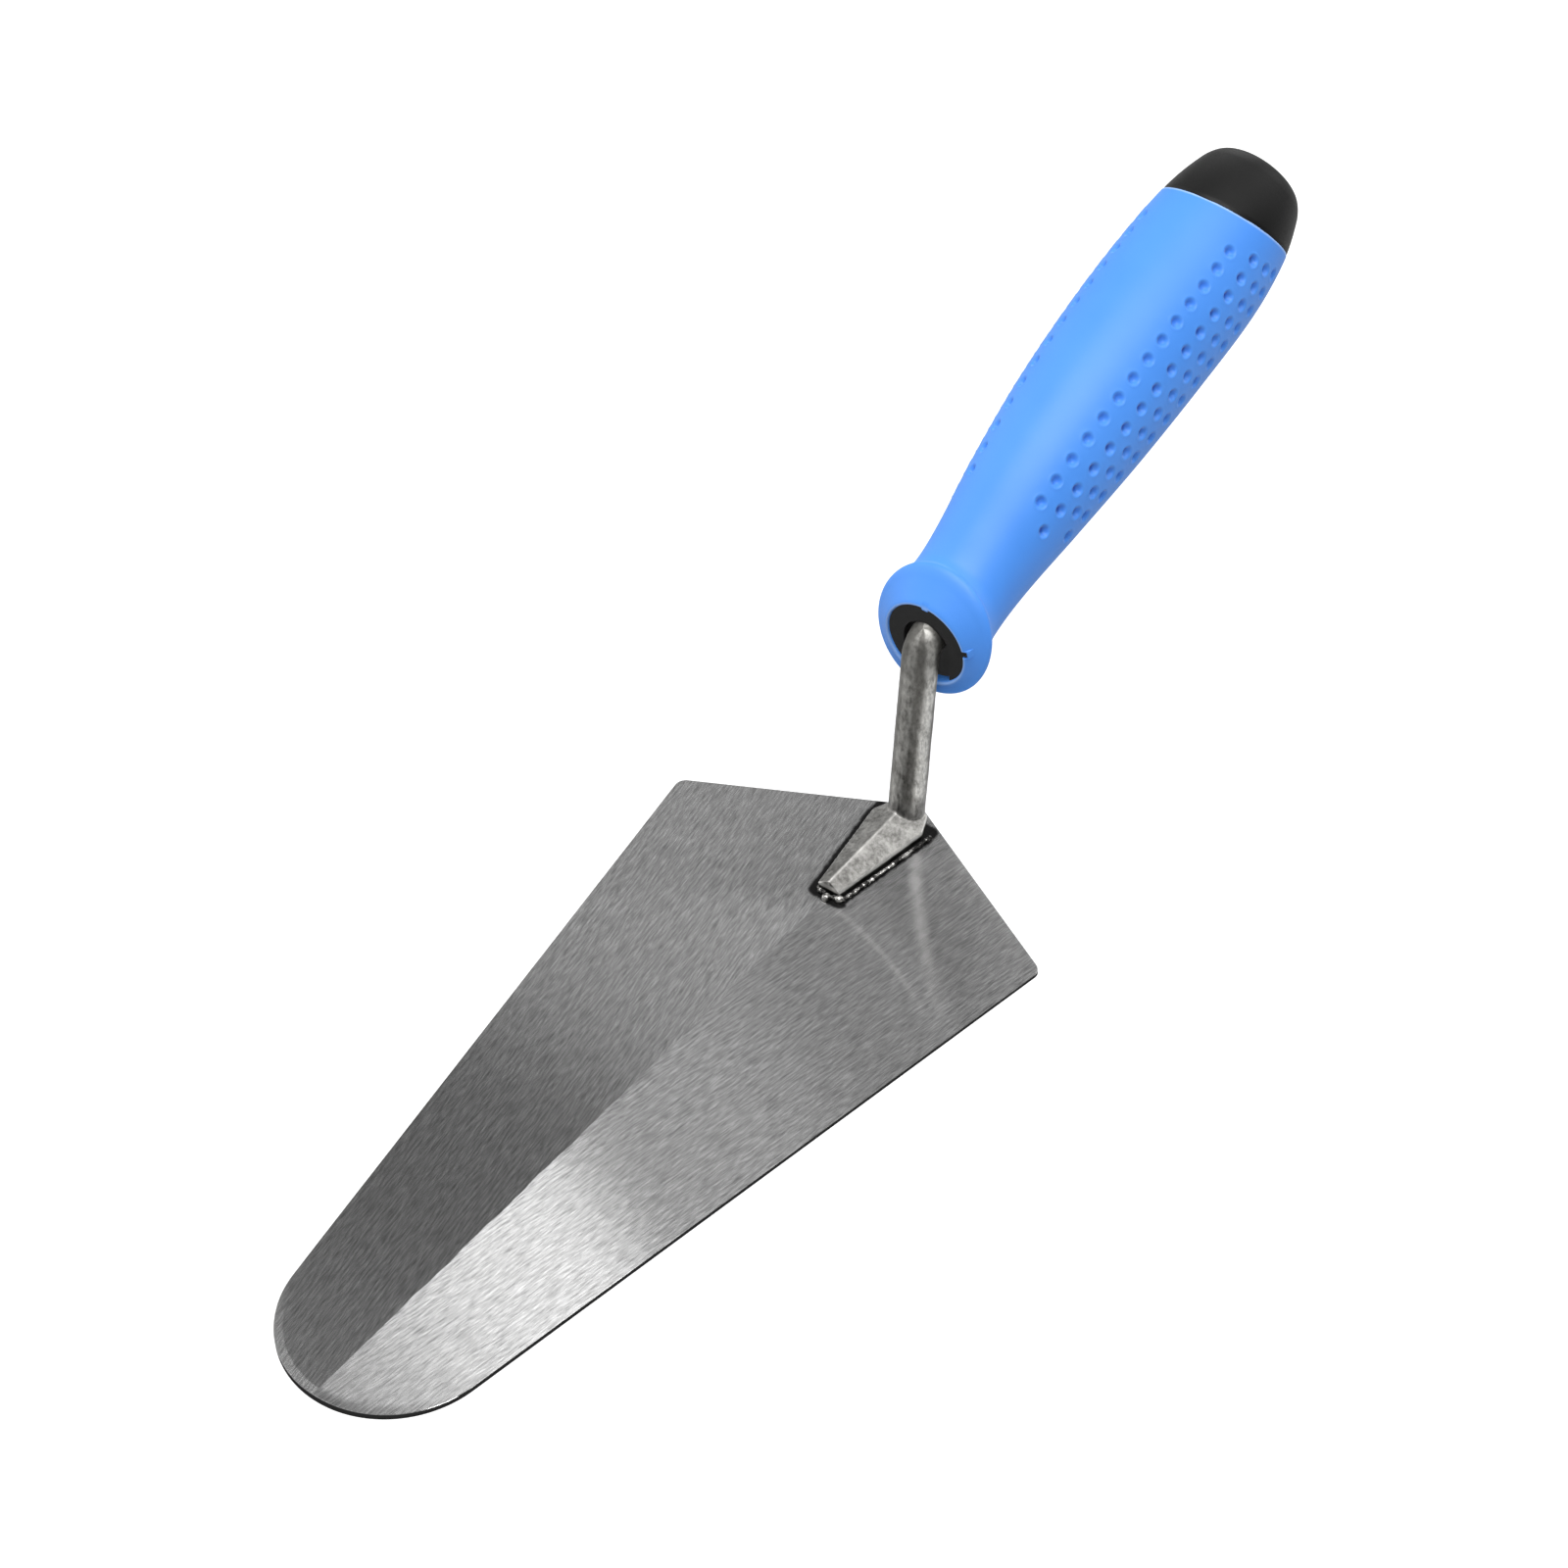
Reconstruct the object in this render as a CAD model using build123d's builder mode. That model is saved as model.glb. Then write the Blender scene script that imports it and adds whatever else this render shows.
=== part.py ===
from build123d import *
import os
from math import asin, cos, degrees, hypot, radians, sin, tan

# Brick trowel: round-nosed steel blade, welded cranked tang, soft-grip handle.
# Frame: +X runs from the blade tip to the butt, +Z is up from the working face,
# the object is symmetric about the XZ plane. Millimetres.

# ---- blade ----
HEEL_X = 34.36           # rear apex of the blade, under the shank
BLADE_LENGTH = 200.0     # tip to rear apex
BLADE_HALF_WIDTH = 49.6  # at the heel corners
HEEL_RAKE = 23.8         # heel corners sit this far forward of the apex
TIP_RADIUS = 24.2
CORNER_RADIUS = 2.5
RIDGE_HEEL = 2.3         # blade thickness on the centre line at the heel
RIDGE_TIP = 1.9          # blade thickness on the centre line at the tip
EDGE_THICKNESS = 0.9     # at the heel corners

# ---- tang: forged foot, shank, cranked bend, tail ----
ROD_RADIUS = 4.1
THREAD_RADIUS = 4.0
SHANK_ANGLE = 81.6       # rise of the shank above the blade
AXIS_ANGLE = 19.9        # rise of the handle axis above the blade
BEND_X, BEND_Z = HEEL_X + 1.46, 49.6   # where shank line and handle axis meet
BEND_RADIUS = 4.6
FOOT_TOE_X = HEEL_X - 33.4
FOOT_WIDE_X = HEEL_X - 8.4
FOOT_REAR_X = HEEL_X - 3.2
FOOT_TOE_HALF, FOOT_WIDE_HALF, FOOT_REAR_HALF = 2.9, 6.7, 4.3
FOOT_TOE_WALL, FOOT_TOE_RIDGE = 4.2, 6.2
FOOT_WALL, FOOT_RIDGE = 4.4, 7.4
FOOT_SEAT = 1.1          # inside the blade plate, trimmed back to its top face
WELD_WIDTH = 1.35        # on the blade's top face
WELD_TOP = 3.7
WELD_SLOPE = 38.0

# ---- handle: stations run along its axis from axis_zero ----
AXIS_FRONT = 11.0        # bend point to station 0
NOSE_X = HEEL_X + 2.6    # upright front face of the sleeve
NOSE_Z = 49.2
NOSE_RADIUS = 9.9
NOSE_BACK_X = HEEL_X + 6.6
NOSE_RECESS = 0.6        # collar sits this far inside the sleeve's mouth
NOSE_SLOT_HALF = 6.0     # blind slot around the shank, open at the bottom
NOSE_SLOT_Z = 48.7
NOSE_SLOT_DEPTH = 2.4    # from the sleeve's front face
KEY_SIZE = 1.3           # locating notch and lug on the collar's rim
LUG_Z = 51.2
ROD_CLEARANCE = 0.5
NOSE_CLEARANCE = 0.2
LIP_RADIUS = 10.6        # mouth of the sleeve, before rounding
CORE_START = -14.0
CORE_END = 107.0
CORE_PROFILE = [(12.0, 8.8), (30.0, 10.0), (52.0, 11.8), (90.0, 12.0), (103.0, 10.6)]
SPIGOT_RADIUS = 9.5
THREAD_START = 104.0
TAIL_END = 117.0
WASHER_RADIUS, WASHER_BORE, WASHER_THICKNESS = 8.0, 4.3, 1.6
NUT_FLATS, NUT_HEIGHT = 13.0, 6.5
CAP_CAVITY_RADIUS = 8.8
CAP_CAVITY_END = 118.5
SEAM_STATION = 110.1     # where the butt cap meets the sleeve, on the axis
SEAM_ANGLE = 35.5        # rise of the seam plane's normal
SEAM_BREAK = 0.35
BUTT_ROUND = 1.8
GUARD_ROUND = 0.5
SECTION_STEPS = 22       # evenly spaced sections keep the grip surface fair
# guard's widest ring, waist, swell, butt: station, lift above the axis, radius, tilt
GRIP_SECTIONS = [
    (-6.2, -0.45, 15.3, -14.0),
    (-2.5, 0.25, 12.85, -9.0),
    (2.0, 0.3, 11.75, 0.0),
    (12.0, 0.75, 12.0, 12.0),
    (30.0, 1.55, 14.1, 19.0),
    (52.0, 1.75, 16.1, AXIS_ANGLE),
    (76.0, 1.1, 17.06, AXIS_ANGLE),
    (96.0, 0.0, 16.98, AXIS_ANGLE),
    (110.0, 0.0, 15.6, AXIS_ANGLE),
    (119.5, 0.3, 13.0, AXIS_ANGLE),
    (123.6, 0.4, 10.7, AXIS_ANGLE),
]

# ---- dimples pressed into both flanks of the sleeve ----
# angle down from the top of the handle, station of the first dimple, number in the row
DIMPLE_ROWS = [(42.6, 26.0, 14), (63.1, 22.6, 15), (78.5, 30.4, 14), (93.1, 26.7, 15)]
DIMPLE_PITCH = 5.74
DIMPLE_SPHERE = 1.9
DIMPLE_LIFT = 1.1        # sphere centre outside the sleeve's surface

axis_dir = Vector(cos(radians(AXIS_ANGLE)), 0, sin(radians(AXIS_ANGLE)))
axis_up = Vector(-sin(radians(AXIS_ANGLE)), 0, cos(radians(AXIS_ANGLE)))
shank_dir = Vector(cos(radians(SHANK_ANGLE)), 0, sin(radians(SHANK_ANGLE)))
bend_point = Vector(BEND_X, 0, BEND_Z)
axis_zero = bend_point + axis_dir * AXIS_FRONT


def station(s, up=0.0):
    """Point on the handle axis at station s, lifted by up."""
    return axis_zero + axis_dir * s + axis_up * up


def section_plane(point, tilt):
    """Plane through point whose normal rises by tilt above +X."""
    return Plane(
        origin=point,
        x_dir=(0, -1, 0),
        z_dir=(cos(radians(tilt)), 0, sin(radians(tilt))),
    )


def axis_plane(s):
    return section_plane(station(s), AXIS_ANGLE)


def rim_in_plane(shape, plane):
    """Edges of shape that lie in plane."""
    def miss(edge):
        return max(abs((edge @ t - plane.origin).dot(plane.z_dir)) for t in (0, 0.25, 0.5, 0.75))
    return [e for e in shape.edges() if miss(e) < 0.01]


def blend(s, column):
    """Smooth value of one column of GRIP_SECTIONS at station s."""
    rows = GRIP_SECTIONS
    k = max(i for i in range(len(rows) - 1) if rows[i][0] <= s + 1e-6)
    x0, x1 = rows[k][0], rows[k + 1][0]
    y0, y1 = rows[k][column], rows[k + 1][column]

    def slope(i):
        lo, hi = max(i - 1, 0), min(i + 1, len(rows) - 1)
        return (rows[hi][column] - rows[lo][column]) / (rows[hi][0] - rows[lo][0])

    t = (s - x0) / (x1 - x0)
    step0, step1 = slope(k) * (x1 - x0), slope(k + 1) * (x1 - x0)
    return (
        y0 * (1 + 2 * t) * (1 - t) ** 2 + step0 * t * (1 - t) ** 2
        + y1 * t * t * (3 - 2 * t) + step1 * t * t * (t - 1)
    )


def grip_section(s):
    """Plane and radius of the grip's cross section at station s."""
    return section_plane(station(s, blend(s, 1)), blend(s, 3)), blend(s, 2)


# ---------------------------------------------------------------- blade
tip_x = HEEL_X - BLADE_LENGTH
tip_centre = tip_x + TIP_RADIUS
corner_x = HEEL_X - HEEL_RAKE
reach = hypot(corner_x - tip_centre, BLADE_HALF_WIDTH)
edge_angle = degrees(asin(BLADE_HALF_WIDTH / reach)) - degrees(asin(TIP_RADIUS / reach))
tangent_x = tip_centre - TIP_RADIUS * sin(radians(edge_angle))
tangent_y = TIP_RADIUS * cos(radians(edge_angle))
ridge_fall = (RIDGE_HEEL - RIDGE_TIP) / BLADE_LENGTH
side_fall = (RIDGE_HEEL - ridge_fall * HEEL_RAKE - EDGE_THICKNESS) / BLADE_HALF_WIDTH

with BuildPart() as blade:
    with BuildSketch():
        with BuildLine():
            Polyline(
                (tangent_x, tangent_y),
                (corner_x, BLADE_HALF_WIDTH),
                (HEEL_X, 0),
                (corner_x, -BLADE_HALF_WIDTH),
                (tangent_x, -tangent_y),
            )
            ThreePointArc((tangent_x, tangent_y), (tip_x, 0), (tangent_x, -tangent_y))
        make_face()
    extrude(amount=RIDGE_HEEL + 1)
    corners = [
        e for e in blade.edges().filter_by(Axis.Z)
        if abs(e.center().X - corner_x) < 1 and abs(e.center().Y) > 1
    ]
    fillet(corners, CORNER_RADIUS)
    for side in (-1, 1):
        top = Plane(
            origin=(HEEL_X, 0, RIDGE_HEEL),
            x_dir=(1, 0, ridge_fall),
            z_dir=(-ridge_fall, side * side_fall, 1),
        )
        split(bisect_by=top, keep=Keep.BOTTOM)
blade.part.label = "blade"

# ---------------------------------------------------------------- tang
bend_reach = BEND_RADIUS * tan(radians((SHANK_ANGLE - AXIS_ANGLE) / 2))
shank_base = bend_point + shank_dir * ((FOOT_SEAT - BEND_Z) / sin(radians(SHANK_ANGLE)))
bend_start = bend_point - shank_dir * bend_reach
bend_end = bend_point + axis_dir * bend_reach
foot_stations = [
    (FOOT_TOE_X, FOOT_TOE_HALF, FOOT_TOE_WALL, FOOT_TOE_RIDGE),
    (FOOT_WIDE_X, FOOT_WIDE_HALF, FOOT_WALL, FOOT_RIDGE),
    (FOOT_REAR_X, FOOT_REAR_HALF, FOOT_WALL, FOOT_RIDGE),
]

with BuildPart() as tang:
    for front, back in zip(foot_stations, foot_stations[1:]):
        for x, half, wall, ridge in (front, back):
            with BuildSketch(Plane(origin=(x, 0, 0), x_dir=(0, 1, 0), z_dir=(1, 0, 0))):
                with BuildLine():
                    Polyline(
                        (-half, FOOT_SEAT),
                        (-half, wall),
                        (0, ridge),
                        (half, wall),
                        (half, FOOT_SEAT),
                        close=True,
                    )
                make_face()
        loft(ruled=True)
    with BuildLine() as tang_path:
        Line(shank_base, bend_start)
        TangentArc(bend_start, bend_end, tangent=shank_dir)
        Line(bend_end, station(THREAD_START))
    with BuildSketch(Plane(origin=shank_base, x_dir=(0, 1, 0), z_dir=shank_dir)):
        Circle(ROD_RADIUS)
    sweep(path=tang_path.line)
    with BuildSketch(axis_plane(THREAD_START)):
        Circle(THREAD_RADIUS)
    extrude(amount=TAIL_END - THREAD_START)
    add(blade.part, mode=Mode.SUBTRACT)
tang.part.label = "tang"

# ---------------------------------------------------------------- weld bead
weld_reach = WELD_WIDTH + (RIDGE_HEEL - EDGE_THICKNESS) * tan(radians(WELD_SLOPE))

with BuildPart() as foot_weld:
    with BuildSketch(Plane.XY.offset(EDGE_THICKNESS)):
        with BuildLine():
            Polyline(
                (FOOT_TOE_X, -FOOT_TOE_HALF),
                (FOOT_WIDE_X, -FOOT_WIDE_HALF),
                (FOOT_WIDE_X, FOOT_WIDE_HALF),
                (FOOT_TOE_X, FOOT_TOE_HALF),
                close=True,
            )
        make_face()
        offset(amount=weld_reach)
    extrude(amount=WELD_TOP - EDGE_THICKNESS, taper=WELD_SLOPE)
    add(tang.part, mode=Mode.SUBTRACT)
    add(blade.part, mode=Mode.SUBTRACT)
foot_weld.part.label = "foot_weld"

# ---------------------------------------------------------------- handle envelope
guard_station, butt_station = GRIP_SECTIONS[0][0], GRIP_SECTIONS[-1][0]
guard_plane, guard_radius = grip_section(guard_station)
butt_plane, butt_radius = grip_section(butt_station)

with BuildPart(mode=Mode.PRIVATE) as envelope:
    for k in range(SECTION_STEPS + 1):
        plane, radius = grip_section(guard_station + (butt_station - guard_station) * k / SECTION_STEPS)
        with BuildSketch(plane):
            Circle(radius)
    loft()
    with BuildSketch(section_plane((NOSE_X, 0, NOSE_Z), 0)):
        Circle(LIP_RADIUS)
    with BuildSketch(guard_plane):
        Circle(guard_radius)
    loft(ruled=True)
    fillet(rim_in_plane(envelope, guard_plane), GUARD_ROUND)
    fillet(rim_in_plane(envelope, butt_plane), BUTT_ROUND)

seam_plane = section_plane(station(SEAM_STATION), SEAM_ANGLE)

# ---------------------------------------------------------------- nose collar
with BuildPart(mode=Mode.PRIVATE) as nose_pocket:
    with BuildSketch(Plane(origin=(NOSE_X - 1, 0, 0), x_dir=(0, 1, 0), z_dir=(1, 0, 0))):
        with Locations((0, NOSE_Z)):
            Circle(NOSE_RADIUS)
        with Locations((0, NOSE_Z + NOSE_RADIUS)):
            Rectangle(KEY_SIZE, KEY_SIZE, mode=Mode.SUBTRACT)
        with Locations((-NOSE_RADIUS, LUG_Z)):
            Rectangle(KEY_SIZE, KEY_SIZE)
    extrude(amount=NOSE_BACK_X - NOSE_X + 1)

with BuildPart(mode=Mode.PRIVATE) as shank_groove:
    with BuildSketch(Plane(origin=shank_base, x_dir=(0, 1, 0), z_dir=shank_dir)):
        Circle(ROD_RADIUS + ROD_CLEARANCE)
    extrude(amount=(BEND_Z - FOOT_SEAT) / sin(radians(SHANK_ANGLE)))

with BuildPart() as nose_collar:
    add(nose_pocket.part)
    split(bisect_by=Plane(origin=(NOSE_X + NOSE_RECESS, 0, 0), z_dir=(1, 0, 0)), keep=Keep.TOP)
    with BuildSketch(Plane(origin=(NOSE_X, 0, 0), x_dir=(0, 1, 0), z_dir=(1, 0, 0))):
        with Locations((0, NOSE_SLOT_Z)):
            Circle(NOSE_SLOT_HALF)
        with Locations((0, NOSE_SLOT_Z - NOSE_RADIUS)):
            Rectangle(2 * NOSE_SLOT_HALF, 2 * NOSE_RADIUS)
    extrude(amount=NOSE_SLOT_DEPTH, mode=Mode.SUBTRACT)
    add(shank_groove.part, mode=Mode.SUBTRACT)
    with BuildSketch(axis_plane(CORE_START)):
        Circle(ROD_RADIUS + NOSE_CLEARANCE)
    extrude(amount=-CORE_START, mode=Mode.SUBTRACT)
nose_collar.part.label = "nose_collar"

# ---------------------------------------------------------------- core
with BuildPart(mode=Mode.PRIVATE) as core_blank:
    with BuildSketch(Plane(origin=axis_zero, x_dir=axis_dir, z_dir=(0, -1, 0))):
        with BuildLine():
            Polyline((CORE_START, 0), (CORE_START, CORE_PROFILE[0][1]), CORE_PROFILE[0])
            Spline(*CORE_PROFILE, tangents=((1, 0), (1, -0.3)))
            Polyline(
                CORE_PROFILE[-1],
                (CORE_PROFILE[-1][0], SPIGOT_RADIUS),
                (CORE_END, SPIGOT_RADIUS),
                (CORE_END, 0),
                (CORE_START, 0),
            )
        make_face()
    revolve(axis=Axis(axis_zero, axis_dir))
    split(bisect_by=Plane(origin=(NOSE_BACK_X, 0, 0), z_dir=(1, 0, 0)), keep=Keep.TOP)

with BuildPart() as handle_core:
    add(core_blank.part)
    with BuildSketch(axis_plane(CORE_START)):
        Circle(ROD_RADIUS)
    extrude(amount=CORE_END - CORE_START, mode=Mode.SUBTRACT)
handle_core.part.label = "handle_core"

# ---------------------------------------------------------------- washer and nut
with BuildPart() as tang_washer:
    with BuildSketch(axis_plane(CORE_END)):
        Circle(WASHER_RADIUS)
        Circle(WASHER_BORE, mode=Mode.SUBTRACT)
    extrude(amount=WASHER_THICKNESS)
tang_washer.part.label = "tang_washer"

with BuildPart() as tang_nut:
    with BuildSketch(axis_plane(CORE_END + WASHER_THICKNESS)):
        RegularPolygon(NUT_FLATS / 2, 6, major_radius=False)
        Circle(THREAD_RADIUS, mode=Mode.SUBTRACT)
    extrude(amount=NUT_HEIGHT)
tang_nut.part.label = "tang_nut"

# ---------------------------------------------------------------- butt cap
with BuildPart() as butt_cap:
    add(envelope.part)
    split(bisect_by=seam_plane, keep=Keep.TOP)
    chamfer(rim_in_plane(butt_cap, seam_plane), SEAM_BREAK)
    add(core_blank.part, mode=Mode.SUBTRACT)
    with BuildSketch(axis_plane(CORE_END)):
        Circle(CAP_CAVITY_RADIUS)
    extrude(amount=CAP_CAVITY_END - CORE_END, mode=Mode.SUBTRACT)
butt_cap.part.label = "butt_cap"

# ---------------------------------------------------------------- grip sleeve
with BuildPart() as grip_sleeve:
    add(envelope.part)
    split(bisect_by=seam_plane, keep=Keep.BOTTOM)
    add(core_blank.part, mode=Mode.SUBTRACT)
    add(nose_pocket.part, mode=Mode.SUBTRACT)
    with BuildSketch(axis_plane(CORE_END)):
        Circle(CAP_CAVITY_RADIUS)
    extrude(amount=CAP_CAVITY_END - CORE_END, mode=Mode.SUBTRACT)
    add(shank_groove.part, mode=Mode.SUBTRACT)
    dimples = []
    for angle, first, count in DIMPLE_ROWS:
        for k in range(count):
            s = first + k * DIMPLE_PITCH
            for side in (-1, 1):
                outward = axis_up * cos(radians(angle)) + Vector(0, side * sin(radians(angle)), 0)
                centre = station(s, blend(s, 1)) + outward * (blend(s, 2) + DIMPLE_LIFT)
                dimples.append(Plane(origin=centre, x_dir=axis_dir, z_dir=outward))
    with Locations(*dimples):
        Sphere(DIMPLE_SPHERE, mode=Mode.SUBTRACT)
grip_sleeve.part.label = "grip_sleeve"

pieces = (blade, tang, foot_weld, nose_collar, handle_core, tang_washer, tang_nut, butt_cap, grip_sleeve)
os.makedirs("parts", exist_ok=True)
for piece in pieces:
    export_step(piece.part, f"parts/{piece.part.label}.step")
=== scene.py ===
import math
import random

import bmesh
import bpy
import numpy as np
from mathutils import Matrix, Vector, noise


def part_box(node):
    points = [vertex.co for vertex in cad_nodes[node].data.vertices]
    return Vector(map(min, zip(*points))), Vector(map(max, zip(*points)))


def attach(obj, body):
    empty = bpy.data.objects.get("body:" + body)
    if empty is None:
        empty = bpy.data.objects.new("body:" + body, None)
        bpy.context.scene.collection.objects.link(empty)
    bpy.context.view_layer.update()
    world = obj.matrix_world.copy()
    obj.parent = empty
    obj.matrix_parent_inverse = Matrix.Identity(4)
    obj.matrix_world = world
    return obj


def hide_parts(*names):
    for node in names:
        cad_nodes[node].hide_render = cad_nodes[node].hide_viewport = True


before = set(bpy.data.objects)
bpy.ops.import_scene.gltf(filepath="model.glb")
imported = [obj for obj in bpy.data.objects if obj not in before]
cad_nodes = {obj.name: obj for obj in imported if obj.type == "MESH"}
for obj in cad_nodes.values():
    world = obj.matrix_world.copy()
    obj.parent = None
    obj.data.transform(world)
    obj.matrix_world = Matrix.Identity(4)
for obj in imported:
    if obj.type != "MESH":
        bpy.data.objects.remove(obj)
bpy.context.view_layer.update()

MM = 0.001
scene = bpy.context.scene
scene.view_settings.view_transform = "Standard"
scene.view_settings.look = "None"

# ------------------------------------------------------------------ camera
CAM_AT = Vector((-0.49218, -0.40206, 0.67016))
CAM_RIGHT = Vector((0.61344, -0.78889, -0.03654))
CAM_UP = Vector((0.57327, 0.41300, 0.70767))
CAM_BACK = Vector((-0.54318, -0.45507, 0.70560))
CAM_LENS = 97.40

cam = bpy.data.objects.new("camera", bpy.data.cameras.new("camera"))
scene.collection.objects.link(cam)
turn = Matrix((CAM_RIGHT, CAM_UP, CAM_BACK)).transposed().to_4x4()
cam.matrix_world = Matrix.Translation(CAM_AT) @ turn
cam.data.sensor_width = 36.0
cam.data.lens = CAM_LENS
cam.data.clip_start = 0.01
cam.data.clip_end = 50.0
scene.camera = cam

# ------------------------------------------------------------------ the blade, mm
blade_lo, blade_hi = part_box("blade")
HEEL_X = blade_hi.x / MM
TIP_X = blade_lo.x / MM
TIP_R = 24.2
HALF_WIDTH = 49.598                # a hair inside the CAD's corners
HEEL_RAKE = 23.8                   # from the heel's corners back to its apex
CORNER_R = 2.5
RIDGE_HEEL, RIDGE_TIP = 2.3, 1.9   # thickness on the centre line
EDGE_THICK = 0.9                   # thickness at the heel's corners
RIDGE_FALL = (RIDGE_HEEL - RIDGE_TIP) / (HEEL_X - TIP_X)
SIDE_FALL = (RIDGE_HEEL - RIDGE_FALL * HEEL_RAKE - EDGE_THICK) / HALF_WIDTH
EDGE_ANGLE = math.radians(9.4)     # the long edges, and the grinding marks, against X
EDGE_BREAK = 0.12
HEEL_SLANT = 0.43                  # sine of the angle between the heel's edges and Y
TIP_BEVEL, TIP_DROP = 1.9, 0.11    # width and drop of the worn bevel round the tip
FAR_BEVEL, NEAR_BEVEL = 1.0, 0.3   # share of that drop on the halves with y above and below 0

# ------------------------------------------------------------------ the tang's foot and shank, mm
FOOT_TOE, FOOT_WIDE = HEEL_X - 33.4, HEEL_X - 8.4
FOOT_HALF = (2.9, 6.7)             # half width at those two
SHANK_X, SHANK_Z = HEEL_X + 1.46, 49.6   # where the shank's axis meets the handle's
SHANK_LEAN = 1 / math.tan(math.radians(81.6))
BAND_ANGLE_ZERO = math.radians(-140.0)  # the side of the shank that angles round it are measured from

# ------------------------------------------------------------------ the handle, mm
AXIS_ANGLE = math.radians(19.9)
AXIS_DIR = np.array((math.cos(AXIS_ANGLE), 0.0, math.sin(AXIS_ANGLE)))
AXIS_UP = np.array((-math.sin(AXIS_ANGLE), 0.0, math.cos(AXIS_ANGLE)))
HAIR = 0.001                       # keeps the skin just inside the CAD's
ZERO_AHEAD = 11.0                  # from the bend to station 0
AXIS_ZERO = np.array((SHANK_X, 0.0, SHANK_Z - HAIR)) + AXIS_DIR * ZERO_AHEAD
NOSE_X, NOSE_BACK = HEEL_X + 2.6, HEEL_X + 6.6   # front and back of the collar in the handle's mouth
NOSE_Z, NOSE_R = 49.2, 9.9         # the collar's centre and radius
LIP_R = 10.6                       # where the sleeve's lip turns into its face
SEAM_AT, SEAM_TILT = 110.1, math.radians(35.5)
SEAM_NORMAL = np.array((math.cos(SEAM_TILT), 0.0, math.sin(SEAM_TILT)))
# station along the axis, section's centre above the axis, its radius, its tilt in degrees
GRIP = np.array([
    (-6.2, -0.45, 15.3, -14.0),
    (-2.5, 0.25, 12.85, -9.0),
    (2.0, 0.3, 11.75, 0.0),
    (12.0, 0.75, 12.0, 12.0),
    (30.0, 1.55, 14.1, 19.0),
    (52.0, 1.75, 16.1, 19.9),
    (76.0, 1.1, 17.06, 19.9),
    (96.0, 0.0, 16.98, 19.9),
    (110.0, 0.0, 15.6, 19.9),
    (119.5, 0.3, 13.0, 19.9),
    (123.6, 0.4, 10.7, 19.9),
])
GUARD_AT = GRIP[0, 0]              # the guard's rim
BODY_FROM, BODY_FINE, BODY_TO = -3.3, 18.0, 100.0   # behind the guard, start and end of close rings
CAP_TO, CAP_FLAT, CAP_CORNER = 121.6, 123.57, 123.6   # start of the cap's rounded end, its flat, its corner
NOTCH_AT, KEY_HALF = math.radians(281.4), math.radians(4.6)   # the nib is at the top, angle 0
NOTCH_DEPTH, NIB_RISE = 1.35, 0.65
# angle down from the top, station of the first, number in the row, pitch, closing up of the pitch
DIMPLE_ROWS = [
    (42.6, 25.7, 14, 5.91, 0.0276),
    (63.1, 21.7, 15, 5.97, 0.0235),
    (79.5, 30.4, 14, 5.91, 0.0300),
    (93.6, 26.2, 15, 5.95, 0.0287),
]
DIMPLE_R, DIMPLE_DEPTH, DIMPLE_RIM = 1.50, 1.10, 0.09   # radius, depth and height of the raised rim
# how much painted shade each row's dimple floors get
PIT_PAINTED_SHADE = (0.15, 0.85, 0.75, 0.75)                    # how dark the floor of each row's dimples is


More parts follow.
